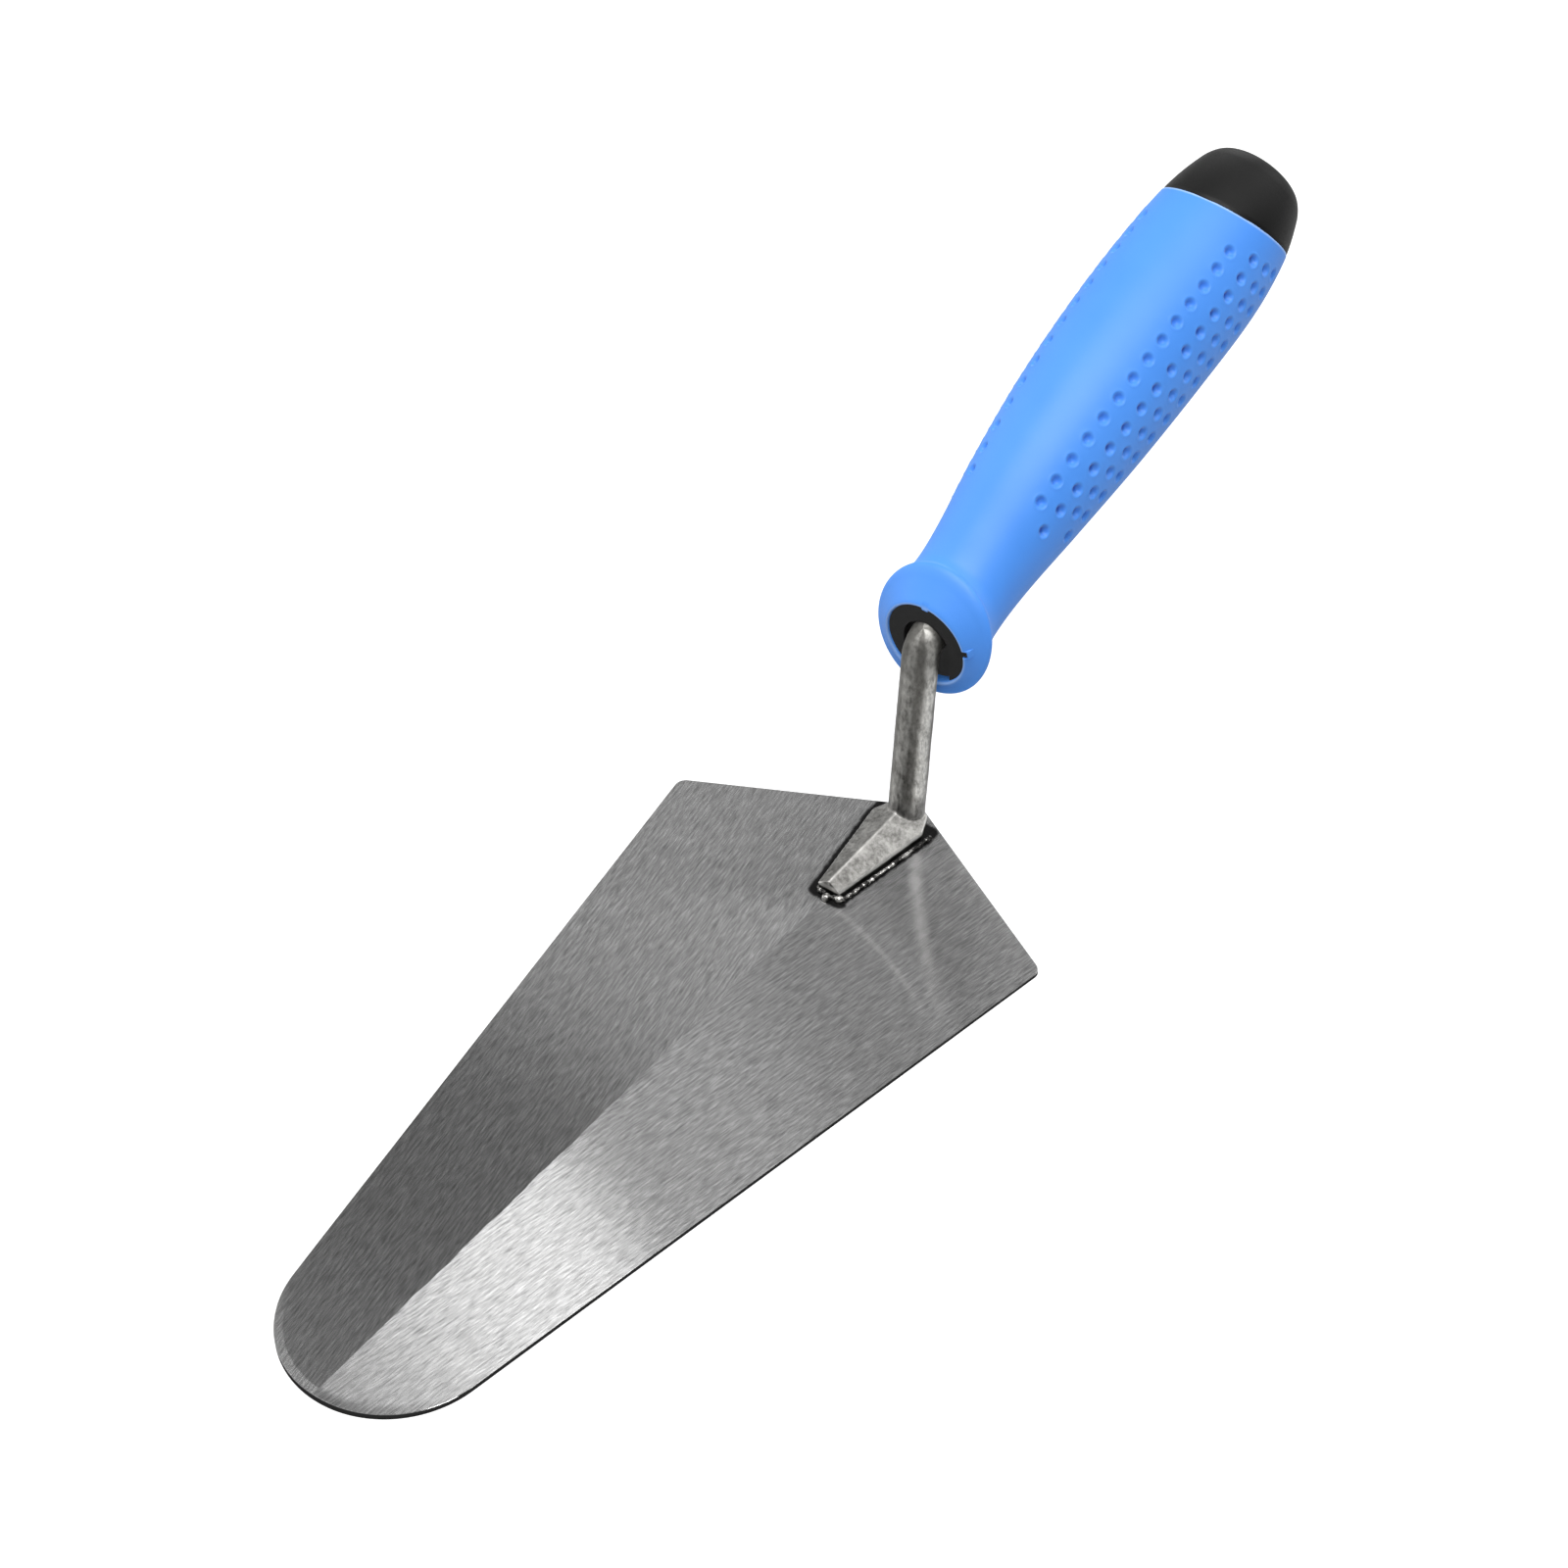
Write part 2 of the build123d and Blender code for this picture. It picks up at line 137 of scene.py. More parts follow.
# ------------------------------------------------------------------ node helpers
class Tree:
    """A node tree with a short way of adding and linking nodes."""

    def __init__(self, tree):
        self.tree = tree

    def put(self, socket, value):
        if isinstance(value, bpy.types.NodeSocket):
            self.tree.links.new(value, socket)
        elif value is not None:
            socket.default_value = value

    def where(self):
        """Object coordinates: the row frame, in metres."""
        return self.tree.nodes.new("ShaderNodeTexCoord").outputs["Object"]

    def math(self, op, a, b=None, clamp=False):
        n = self.tree.nodes.new("ShaderNodeMath")
        n.operation = op
        n.use_clamp = clamp
        self.put(n.inputs[0], a)
        self.put(n.inputs[1], b)
        return n.outputs[0]

    def times(self, *factors):
        made = factors[0]
        for factor in factors[1:]:
            made = self.math("MULTIPLY", made, factor)
        return made

    def plus(self, *terms):
        made = terms[0]
        for term in terms[1:]:
            made = self.math("ADD", made, term)
        return made

    def minus(self, a, b):
        return self.math("SUBTRACT", a, b)

    def absolute(self, a):
        return self.math("ABSOLUTE", a)

    def vec(self, op, a, b=None):
        n = self.tree.nodes.new("ShaderNodeVectorMath")
        n.operation = op
        self.put(n.inputs[0], a)
        self.put(n.inputs[1], b)
        return n.outputs["Value"] if op in ("DOT_PRODUCT", "LENGTH", "DISTANCE") else n.outputs[0]

    def split(self, v):
        n = self.tree.nodes.new("ShaderNodeSeparateXYZ")
        self.put(n.inputs[0], v)
        return n.outputs[0], n.outputs[1], n.outputs[2]

    def join(self, x, y, z):
        n = self.tree.nodes.new("ShaderNodeCombineXYZ")
        for i, v in enumerate((x, y, z)):
            self.put(n.inputs[i], v)
        return n.outputs[0]

    def noise(self, v, scale, detail=2.0, rough=0.5):
        n = self.tree.nodes.new("ShaderNodeTexNoise")
        self.put(n.inputs["Vector"], v)
        self.put(n.inputs["Scale"], scale)
        self.put(n.inputs["Detail"], detail)
        self.put(n.inputs["Roughness"], rough)
        return n.outputs[0]

    def voronoi(self, v, scale):
        n = self.tree.nodes.new("ShaderNodeTexVoronoi")
        self.put(n.inputs["Vector"], v)
        self.put(n.inputs["Scale"], scale)
        return n.outputs[0]

    def attribute(self, name):
        n = self.tree.nodes.new("ShaderNodeAttribute")
        n.attribute_name = name
        return n.outputs["Fac"]

    def ramp(self, v, lo, hi, out_lo=0.0, out_hi=1.0, smooth=False):
        n = self.tree.nodes.new("ShaderNodeMapRange")
        n.clamp = True
        if smooth:
            n.interpolation_type = "SMOOTHSTEP"
        self.put(n.inputs["Value"], v)
        self.put(n.inputs["From Min"], lo)
        self.put(n.inputs["From Max"], hi)
        self.put(n.inputs["To Min"], out_lo)
        self.put(n.inputs["To Max"], out_hi)
        return n.outputs[0]

    def rise(self, v, lo, hi):
        return self.ramp(v, lo, hi, 0.0, 1.0, True)

    def fall(self, v, lo, hi, rest=0.0):
        return self.ramp(v, lo, hi, 1.0, rest, True)

    def mix(self, t, a, b):
        n = self.tree.nodes.new("ShaderNodeMix")
        n.data_type = "RGBA"
        self.put(n.inputs[0], t)
        self.put(n.inputs[6], a)
        self.put(n.inputs[7], b)
        return n.outputs[2]

    def bump(self, height, distance, strength):
        n = self.tree.nodes.new("ShaderNodeBump")
        self.put(n.inputs["Strength"], strength)
        self.put(n.inputs["Distance"], distance)
        self.put(n.inputs["Height"], height)
        return n.outputs[0]


class Mat(Tree):
    """A material whose output is one Principled shader."""

    def __init__(self, name):
        self.mat = bpy.data.materials.new(name)
        self.mat.use_nodes = True
        super().__init__(self.mat.node_tree)
        self.tree.nodes.clear()
        self.out = self.tree.nodes.new("ShaderNodeOutputMaterial")
        self.bsdf = self.tree.nodes.new("ShaderNodeBsdfPrincipled")
        self.tree.links.new(self.bsdf.outputs[0], self.out.inputs["Surface"])

    def shader(self, **values):
        for name, value in values.items():
            self.put(self.bsdf.inputs[name.replace("_", " ")], value)


def grey(v, warm=0.0):
    return (v * (1 + warm), v, v * (1 - warm), 1.0)


# ------------------------------------------------------------------ mesh helpers
def smooth(t):
    t = np.clip(t, 0.0, 1.0)
    return t * t * (3 - 2 * t)


def finish_piece(obj, mat, angle, replaces):
    obj.data.materials.clear()
    obj.data.materials.append(mat)
    obj.data.polygons.foreach_set("use_smooth", [True] * len(obj.data.polygons))
    obj.data.set_sharp_from_angle(angle=math.radians(angle))
    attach(obj, "root")
    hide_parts(*replaces)
    return obj


def new_piece(name, verts_mm, faces, mat, angle, replaces):
    """Mesh object from vertices in mm, smooth but for edges sharper than angle."""
    mesh = bpy.data.meshes.new(name)
    mesh.from_pydata((np.array(verts_mm) * MM).tolist(), [], faces)
    bm = bmesh.new()
    bm.from_mesh(mesh)
    bmesh.ops.remove_doubles(bm, verts=bm.verts, dist=1e-6)
    bmesh.ops.dissolve_degenerate(bm, dist=1e-7, edges=bm.edges)
    bmesh.ops.recalc_face_normals(bm, faces=bm.faces)
    bm.to_mesh(mesh)
    bm.free()
    obj = bpy.data.objects.new(name, mesh)
    scene.collection.objects.link(obj)
    return finish_piece(obj, mat, angle, replaces)


def ring_faces(rows, n, closed_ends=(False, False)):
    """Quads of a tube of rows rings with n points each."""
    faces = []
    for r in range(rows - 1):
        for k in range(n):
            a, b = r * n + k, r * n + (k + 1) % n
            faces.append((a, b, b + n, a + n))
    if closed_ends[0]:
        faces.append(tuple(range(n))[::-1])
    if closed_ends[1]:
        faces.append(tuple(range((rows - 1) * n, rows * n)))
    return faces


def remeshed(name, source, voxel_mm, rounds):
    """A copy of source as one even skin of small faces, its edges softened by rounds of smoothing."""
    obj = bpy.data.objects.new(name, source)
    scene.collection.objects.link(obj)
    skin = obj.modifiers.new("skin", "REMESH")
    skin.mode = "VOXEL"
    skin.voxel_size = voxel_mm * MM
    soft = obj.modifiers.new("soft", "SMOOTH")
    soft.factor = 0.5
    soft.iterations = rounds
    bpy.context.view_layer.update()
    made = bpy.data.meshes.new_from_object(obj.evaluated_get(bpy.context.evaluated_depsgraph_get()))
    obj.modifiers.clear()
    obj.data = made
    return obj


def push(obj, amount):
    """Moves each vertex along its normal by amount(x, y, z) in mm."""
    mesh = obj.data
    n = len(mesh.vertices)
    co, no = np.zeros(n * 3), np.zeros(n * 3)
    mesh.vertices.foreach_get("co", co)
    mesh.vertex_normals.foreach_get("vector", no)
    co, no = co.reshape(-1, 3), no.reshape(-1, 3)
    d = np.array([amount(*p) for p in co / MM])
    mesh.vertices.foreach_set("co", (co + no * d[:, None] * MM).ravel())
    mesh.update()


# ------------------------------------------------------------------ colours, linear
MARK_DARK, MARK_PALE, BLADE_PATCH = grey(0.25), grey(0.82), grey(0.50, 0.015)
# the black round the foot is weld scorch and painted shadow of the gap along its flanks
HEAT_PALE, FOOT_HAZE, FOOT_SCORCH_AND_SHADOW = grey(0.99, 0.01), grey(0.16), grey(0.012)
# painted shade for the front of one half, and painted shadow for the blade's side faces
BLADE_FRONT_SHADE, EDGE_PAINTED_SHADOW = grey(0.03), grey(0.035)
# the shank's scale, its painted reflection, and painted shade at its bend
ROD_SCALE, ROD_REFLECTION_PALE, ROD_BEND_SHADE = (0.080, 0.076, 0.067, 1), (0.88, 0.87, 0.83, 1), (0.10, 0.098, 0.092, 1)
FOOT_DARK, FOOT_PALE = (0.175, 0.171, 0.162, 1), (0.46, 0.453, 0.434, 1)
# painted highlight for the foot's rim and ridge, painted shade for its walls
FOOT_RIM_HIGHLIGHT, FOOT_WALL_SHADE = (0.86, 0.85, 0.82, 1), (0.012, 0.012, 0.011, 1)
WELD_DARK, WELD_PALE = (0.03, 0.029, 0.028, 1), (0.52, 0.51, 0.49, 1)
BLUE_DARK, BLUE_PALE = (0.062, 0.275, 0.85, 1), (0.074, 0.299, 0.89, 1)
# painted shade for the dimples, painted highlight for the lips
BLUE_PIT_SHADE, BLUE_LIP_HIGHLIGHT = (0.004, 0.065, 0.45, 1), (0.42, 0.62, 0.98, 1)
ZINC_DARK, ZINC_PALE = (0.55, 0.56, 0.58, 1), (0.72, 0.73, 0.75, 1)
COLLAR_GREY, CAP_GREY = 0.006, 0.007

# ------------------------------------------------------------------ materials
FINE_MARKS, COARSE_MARKS = (430.0, 4000.0), (200.0, 1900.0)   # per metre, along and across the marks
GLOSS_SHARE, GLOSS_ROUGH, GLOSS_STRETCH = 0.93, 0.19, -0.88
# each heat streak, in metres: x at its first y, slope, bow, first and last y, half width; then its strength
HEAT_STREAKS = [
    (FOOT_WIDE * MM - 0.0040, 1.16, 7.2, -0.0075, -0.0244, 0.0040, 1.0),
    (FOOT_WIDE * MM - 0.0277, 0.29, -6.0, -0.0040, -0.0233, 0.0014, 0.50),
    (FOOT_WIDE * MM + 0.0018, 0.52, 0.0, -0.0145, -0.0300, 0.0035, 0.28),
]
# painted reflection bands along the shank: angles where each starts, is full, is full still and ends, and
# its strength
REFLECTION_BANDS = [
    (2, 26, 44, 66, 0.55),
    (-70, -45, -30, -12, 0.26),
    (75, 110, 150, 178, 0.30),
]


def heat_streak(m, x, y, x0, slope, bow, y0, y1, half_width, amount):
    """Pale bowed streak that runs from y0 to y1, y1 being the lower."""
    ya = m.plus(y, -y0)
    line = m.plus(m.times(ya, slope), m.times(m.times(ya, m.plus(y, -y1)), bow))
    near = m.fall(m.absolute(m.minus(m.minus(x, x0), line)), 0.0, half_width)
    ends = m.times(m.ramp(y, y1 - 0.020, y1 + 0.004), m.ramp(y, y0 - 0.001, y0 + 0.002, 1.0, 0.0))
    return m.times(m.times(near, ends), amount)


def foot_scorch_and_shadow(m, p, x, y):
    """Black close round the foot, partly weld scorch and partly painted shadow of the gap along its flanks,
    and the haze outside it.
    """
    half = m.ramp(x, FOOT_TOE * MM, FOOT_WIDE * MM, FOOT_HALF[0] * MM, FOOT_HALF[1] * MM)
    beside = m.math("MAXIMUM", m.minus(m.absolute(y), half), 0.0)
    ahead = m.math("MAXIMUM", m.minus(FOOT_TOE * MM, x), 0.0)
    behind = m.math("MAXIMUM", m.minus(x, (FOOT_WIDE + 3.0) * MM), 0.0)
    out = m.vec("LENGTH", m.join(beside, ahead, behind))
    ragged = m.plus(out, m.times(m.minus(m.noise(p, 800.0, 2.0), 0.5), 0.0008))
    far_reach = m.ramp(ahead, 0.0, 0.001, 0.0017, 0.0018)
    near_reach = m.ramp(ahead, 0.0, 0.001, 0.0014, 0.0021)
    reach = m.ramp(y, -0.001, 0.001, near_reach, far_reach)
    return m.fall(m.minus(ragged, reach), 0.0, 0.0008), m.ramp(ragged, 0.001, 0.005, 0.20, 0.0, True)


def steel_blade():
    """Ground steel: fine marks along each half's long edge, scorched and heat-marked beside the weld, with
    painted shadow there and on its side faces, and painted shade on one half's front.
    """
    m = Mat("blade_ground_steel")
    p = m.where()
    x, y, _ = m.split(p)
    _, ny, nz = m.split(m.tree.nodes.new("ShaderNodeNewGeometry").outputs["True Normal"])
    side = m.math("SIGN", m.plus(ny, m.times(y, 0.01)))
    across = m.times(y, side)
    c, s = math.cos(EDGE_ANGLE), math.sin(EDGE_ANGLE)
    along = m.plus(m.times(x, c), m.times(across, s))
    over = m.minus(m.times(across, c), m.times(x, s))
    over = m.plus(over, m.times(side, 0.37), m.times(m.noise(p, 60.0, 1.0), 0.0006))

    def marks(per_metre, seed, detail):
        v = m.join(m.times(along, per_metre[0]), m.times(over, per_metre[1]), seed)
        return m.noise(v, 1.0, detail, 0.6)

    tone = m.plus(m.times(marks(FINE_MARKS, 0.0, 3.0), 0.45), m.times(marks(COARSE_MARKS, 3.0, 2.0), 0.55))
    patch = m.noise(p, 30.0, 3.0, 0.55)
    colour = m.mix(m.ramp(tone, 0.33, 0.67), MARK_DARK, MARK_PALE)
    colour = m.mix(m.ramp(patch, 0.35, 0.70, 0.0, 0.22), colour, BLADE_PATCH)

    # pale streaks that the weld's heat left on the upper face of the half with y below 0
    upper = m.ramp(nz, 0.2, 0.5)
    streaks = m.plus(*(heat_streak(m, x, y, *streak) for streak in HEAT_STREAKS))
    broken = m.ramp(m.noise(p, 240.0, 3.0, 0.6), 0.30, 0.60, 0.45, 1.0)
    streaks = m.times(m.math("MULTIPLY", streaks, broken, clamp=True), upper)
    colour = m.mix(streaks, colour, HEAT_PALE)

    scorch_and_shadow, haze = foot_scorch_and_shadow(m, p, x, y)
    colour = m.mix(m.times(haze, upper), colour, FOOT_HAZE)
    # weld scorch, and painted shadow in the gap along the foot's flanks
    colour = m.mix(m.times(scorch_and_shadow, upper, 0.95), colour, FOOT_SCORCH_AND_SHADOW)

    # painted shade: the front of the half with y above 0 darkened, standing in for a darker reflection there
    front = m.times(m.fall(x, -0.090, -0.046), m.ramp(side, -0.5, 0.5))
    colour = m.mix(m.times(front, 0.35), colour, BLADE_FRONT_SHADE)

    # painted shadow: the side faces are painted near black, standing in for the shadow line along the
    # blade's edges
    edge = m.ramp(m.absolute(nz), 0.25, 0.55, 1.0, 0.0)
    colour = m.mix(edge, colour, EDGE_PAINTED_SHADOW)
    tangent = m.join(m.times(side, -s), c, 0.0)
    m.shader(Base_Color=colour, Metallic=1.0, Anisotropic=1.0, Tangent=tangent,
             Roughness=m.plus(m.ramp(tone, 0.3, 0.7, 0.27, 0.34), m.times(edge, 0.3)),
             Normal=m.bump(tone, 0.00001, 0.5))

    # most of the shine is stretched across the marks
    gloss = m.tree.nodes.new("ShaderNodeBsdfAnisotropic")
    m.put(gloss.inputs["Color"], colour)
    m.put(gloss.inputs["Roughness"], GLOSS_ROUGH)
    m.put(gloss.inputs["Anisotropy"], GLOSS_STRETCH)
    m.put(gloss.inputs["Tangent"], tangent)
    both = m.tree.nodes.new("ShaderNodeMixShader")
    m.put(both.inputs[0], GLOSS_SHARE)
    m.tree.links.new(m.bsdf.outputs[0], both.inputs[1])
    m.tree.links.new(gloss.outputs[0], both.inputs[2])
    m.tree.links.new(both.outputs[0], m.out.inputs["Surface"])
    return m.mat


def shank_colour(m, p, spots):
    """Mill scale with painted reflection bands along the shank, lighter near the foot, and painted shade at
    the bend.
    """
    x, y, z = m.split(p)
    axis_x = m.plus(m.times(z, SHANK_LEAN), (SHANK_X - SHANK_Z * SHANK_LEAN) * MM)
    dx = m.minus(x, axis_x)
    c, s = math.cos(BAND_ANGLE_ZERO), math.sin(BAND_ANGLE_ZERO)
    turn = m.math("ARCTAN2", m.minus(m.times(y, c), m.times(dx, s)), m.plus(m.times(dx, c), m.times(y, s)))
    turn = m.plus(turn, m.times(m.minus(m.noise(p, 120.0, 2.0), 0.5), 0.5))
    level = m.ramp(z, 0.010, 0.030, 0.14, 0.09, True)
    # painted reflection: pale bands at fixed angles round the shank
    for *angles, strength in REFLECTION_BANDS:
        a, b, c, d = (math.radians(angle) for angle in angles)
        level = m.plus(level, m.times(m.rise(turn, a, b), m.fall(turn, c, d), strength))
    level = m.times(level, m.plus(m.times(spots, 1.3), 0.40))
    level = m.plus(level, m.times(spots, 0.12))
    # painted shade at the bend, dimming its highlight
    return m.mix(m.ramp(z, 0.041, 0.046, 0.0, 0.45, True), m.mix(level, ROD_SCALE, ROD_REFLECTION_PALE), ROD_BEND_SHADE)


def foot_colour(m, p, tone):
    """Dressed foot with painted highlights on its rim and ridge, and painted shade on its walls."""
    _, y, z = m.split(p)
    up = m.absolute(m.split(m.tree.nodes.new("ShaderNodeNewGeometry").outputs["Normal"])[2])
    colour = m.mix(m.ramp(tone, 0.38, 0.62), FOOT_DARK, FOOT_PALE)
    # painted highlight along the foot's rim and along its ridge
    rim_height = m.times(m.ramp(z, 0.0034, 0.0039), m.ramp(z, 0.0046, 0.0052, 1.0, 0.0))
    rim = m.times(rim_height, m.ramp(up, 0.62, 0.82, 1.0, 0.0))
    ridge_highlight = m.ramp(m.absolute(y), 0.0001, 0.0005, 0.45, 0.0)
    colour = m.mix(m.math("MAXIMUM", rim, ridge_highlight), colour, FOOT_RIM_HIGHLIGHT)
    # painted shade on the foot's walls
    wall = m.times(m.ramp(up, 0.30, 0.50, 1.0, 0.0), m.ramp(z, 0.0034, 0.0039, 1.0, 0.0))
    return m.mix(wall, colour, FOOT_WALL_SHADE)


def steel_forged():
    """Forged steel: mill scale on the shank with painted reflection bands, a brighter dressed foot with
    painted highlights and shade.
    """
    m = Mat("tang_forged_steel")
    p = m.where()
    z = m.split(p)[2]
    big = m.noise(p, 260.0, 4.0, 0.6)
    small = m.noise(m.vec("MULTIPLY", p, (1300.0, 1300.0, 520.0)), 1.0, 3.0, 0.65)
    tone = m.plus(m.times(big, 0.5), m.times(small, 0.5))
    shank = shank_colour(m, p, m.ramp(tone, 0.36, 0.64))
    colour = m.mix(m.rise(z, 0.0085, 0.0115), foot_colour(m, p, tone), shank)
    rough = m.plus(m.ramp(small, 0.3, 0.7, 0.38, 0.54), m.ramp(z, 0.040, 0.048, 0.0, 0.10))
    m.shader(Base_Color=colour, Metallic=1.0, Roughness=rough, Normal=m.bump(tone, 0.00012, 0.6))
    return m.mat


def steel_weld():
    """Weld metal: shiny drops between burnt hollows."""
    m = Mat("weld_bead")
    p = m.where()
    big = m.noise(p, 520.0, 3.0, 0.6)
    colour = m.mix(m.ramp(big, 0.42, 0.60), WELD_DARK, WELD_PALE)
    m.shader(Base_Color=colour, Metallic=1.0, Roughness=m.ramp(big, 0.3, 0.7, 0.34, 0.18),
             Normal=m.bump(m.noise(p, 1500.0, 2.0), 0.0001, 0.5))
    return m.mat


def soft_grip():
    """Soft blue rubber, with painted shade in the dimples and a painted highlight on its two moulded lips.
    """
    m = Mat("grip_soft_blue")
    p = m.where()
    cloud = m.noise(p, 45.0, 3.0, 0.5)
    grain = m.noise(p, 3200.0, 2.0, 0.5)
    colour = m.mix(m.ramp(cloud, 0.3, 0.7), BLUE_DARK, BLUE_PALE)
    # painted shade in the dimples
    colour = m.mix(m.attribute("pit_shade"), colour, BLUE_PIT_SHADE)
    # painted highlight on the lips at the mouth and the seam
    colour = m.mix(m.times(m.attribute("lip"), 0.6), colour, BLUE_LIP_HIGHLIGHT)
    m.shader(Base_Color=colour, Roughness=m.ramp(grain, 0.3, 0.7, 0.44, 0.54), IOR=1.50,
             Normal=m.bump(grain, 0.00003, 0.5))
    return m.mat


def plastic(name, base, rough, ior):
    m = Mat(name)
    p = m.where()
    cloud = m.noise(p, 60.0, 3.0, 0.5)
    grain = m.noise(p, 2400.0, 2.0, 0.5)
    colour = m.mix(m.ramp(cloud, 0.3, 0.7), grey(base * 0.85), grey(base * 1.15))
    m.shader(Base_Color=colour, Roughness=m.ramp(grain, 0.3, 0.7, rough - 0.05, rough + 0.05), IOR=ior,
             Normal=m.bump(grain, 0.00004, 0.5))
    return m.mat


def plated():
    m = Mat("plated_zinc")
    p = m.where()
    spangle = m.voronoi(p, 900.0)
    colour = m.mix(spangle, ZINC_DARK, ZINC_PALE)
    m.shader(Base_Color=colour, Metallic=1.0, Roughness=m.ramp(spangle, 0.0, 0.6, 0.25, 0.4),
             Normal=m.bump(m.noise(p, 1200.0), 0.00003, 0.4))
    return m.mat


black = plastic("collar_black_plastic", COLLAR_GREY, 0.50, 1.36)
zinc = plated()
carried = {
    "nose_collar": black,
    "handle_core": black,
    "tang_washer": zinc,
    "tang_nut": zinc,
}
for name, mat in carried.items():
    node = cad_nodes[name]
    if len(node.material_slots) == 0:
        node.data.materials.append(mat)
    for slot in node.material_slots:
        slot.material = mat


# ------------------------------------------------------------------ blade
def blade_outline():
    """Half outline from the heel's apex to the tip, y >= 0: points, and each one's share of the bevel."""
    centre = np.array((TIP_X + TIP_R, 0.0))
    corner = np.array((HEEL_X - HEEL_RAKE, HALF_WIDTH))
    apex = np.array((HEEL_X, 0.0))
    reach = np.linalg.norm(corner - centre)
    angle = math.asin(HALF_WIDTH / reach) - math.asin(TIP_R / reach)
    touch = centre + TIP_R * np.array((-math.sin(angle), math.cos(angle)))
    to_apex = (apex - corner) / np.linalg.norm(apex - corner)
    to_touch = (touch - corner) / np.linalg.norm(touch - corner)
    open_angle = math.acos(float(to_apex @ to_touch))
    back = CORNER_R / math.tan(open_angle / 2)
    a, b = corner + to_apex * back, corner + to_touch * back
    mid = to_apex + to_touch
    mid = corner + mid / np.linalg.norm(mid) * CORNER_R / math.sin(open_angle / 2)
    pts = [apex + (a - apex) * k / 26 for k in range(26)]
    t0 = math.atan2(*(a - mid)[::-1])
    t1 = math.atan2(*(b - mid)[::-1])
    pts += [mid + CORNER_R * np.array((math.cos(t), math.sin(t))) for t in np.linspace(t0, t1, 49)[:-1]]
    pts += [b + (touch - b) * k / 110 for k in range(110)]
    first = math.atan2(*(touch - centre)[::-1])
    pts += [centre + TIP_R * np.array((math.cos(t), math.sin(t))) for t in np.linspace(first, math.pi, 70)]
    pts = np.array(pts)
    bevel = smooth((touch[0] + 16.0 - pts[:, 0]) / 26.0)
    return pts, bevel, centre


def crease_drift(x):
    """How far the ground crease wanders off the centre line at x, nothing at the heel and the tip."""
    grow = float(smooth((-50.0 - x) / 40.0)) * float(smooth((x - TIP_X - 3.0) / 20.0))
    return grow * (0.13 * math.sin(0.31 * x) + 0.08 * math.sin(0.83 * x + 1.0))


def build_blade(mat):
    """Rows of points run in from each point of the outline to the centre line."""
    pts, bevel, centre = blade_outline()
    n = len(pts)
    steps = [0.0, EDGE_BREAK, 0.5, 1.1, TIP_BEVEL, 2.6]
    inner = np.linspace(0.0, 1.0, 15)[1:] ** 0.9
    verts, faces = [], []
    for side, bevel_share in ((1, FAR_BEVEL), (-1, NEAR_BEVEL)):
        base = len(verts)
        width = 0
        for i, (px, py) in enumerate(pts):
            cx = max(px, centre[0])
            length = math.hypot(px - cx, py)
            # rows cross the heel's slanted edge, so they run further for the same distance from it
            stretch = 1 / HEEL_SLANT if px > HEEL_X - HEEL_RAKE else 1.0
            row = [min(d * stretch, length * (j / 8.0)) for j, d in enumerate(steps)]
            row += [row[-1] + (length - row[-1]) * f for f in inner]
            width = len(row) + 2
            verts.append((px, side * py, 0.0))
            verts.append((px, side * py, EDGE_BREAK))
            for d in row:
                f = d / length if length > 1e-9 else 0.0
                x, y = px + (cx - px) * f, py * (1 - f)
                if f == 1.0:
                    y += side * crease_drift(x)
                z = RIDGE_HEEL - RIDGE_FALL * (HEEL_X - x) - SIDE_FALL * y
                z -= bevel[i] * TIP_DROP * bevel_share * max(0.0, 1 - d / TIP_BEVEL)
                z -= EDGE_BREAK * 0.7 * max(0.0, 1 - d / (EDGE_BREAK * stretch))
                verts.append((x, side * y, z))
        for i in range(n - 1):
            for j in range(width - 1):
                a = base + i * width + j
                faces.append((a, a + 1, a + 1 + width, a + width))
    under = [i * width for i in range(n)] + [(n + i) * width for i in range(n - 1, -1, -1)]
    faces.append(tuple(under))
    return new_piece("blade_plate", verts, faces, mat, 2.0, ("blade",))


# ------------------------------------------------------------------ grip and butt cap
def column(s, k):
    """Smooth value of one column of GRIP at stations s."""
    s = np.asarray(s, float)
    xs, ys = GRIP[:, 0], GRIP[:, k]
    lo = np.maximum(np.arange(len(xs)) - 1, 0)
    hi = np.minimum(np.arange(len(xs)) + 1, len(xs) - 1)
    slope = (ys[hi] - ys[lo]) / (xs[hi] - xs[lo])
    i = np.clip(np.searchsorted(xs, s, side="right") - 1, 0, len(xs) - 2)
    h = xs[i + 1] - xs[i]
    t = (s - xs[i]) / h
    return (ys[i] * (1 + 2 * t) * (1 - t) ** 2 + slope[i] * h * t * (1 - t) ** 2
            + ys[i + 1] * t * t * (3 - 2 * t) + slope[i + 1] * h * t * t * (t - 1))


def grip_point(s, theta, inset=0.0):
    """Points of the handle's surface at stations s and angles theta from its top, in mm."""
    s, theta = np.broadcast_arrays(np.asarray(s, float), theta)
    tilt = np.radians(column(s, 3))
    centre = AXIS_ZERO + s[..., None] * AXIS_DIR + column(s, 1)[..., None] * AXIS_UP
    up = np.stack((-np.sin(tilt), np.zeros_like(tilt), np.cos(tilt)), -1)
    r = (column(s, 2) - inset)[..., None]
    side = np.array((0.0, 1.0, 0.0))
    return centre + r * (np.cos(theta)[..., None] * up + np.sin(theta)[..., None] * side)


def circle(x, r, theta):
    """Ring in the plane of the handle's mouth."""
    return np.stack((np.full_like(theta, x), r * np.sin(theta), NOSE_Z + r * np.cos(theta)), -1)


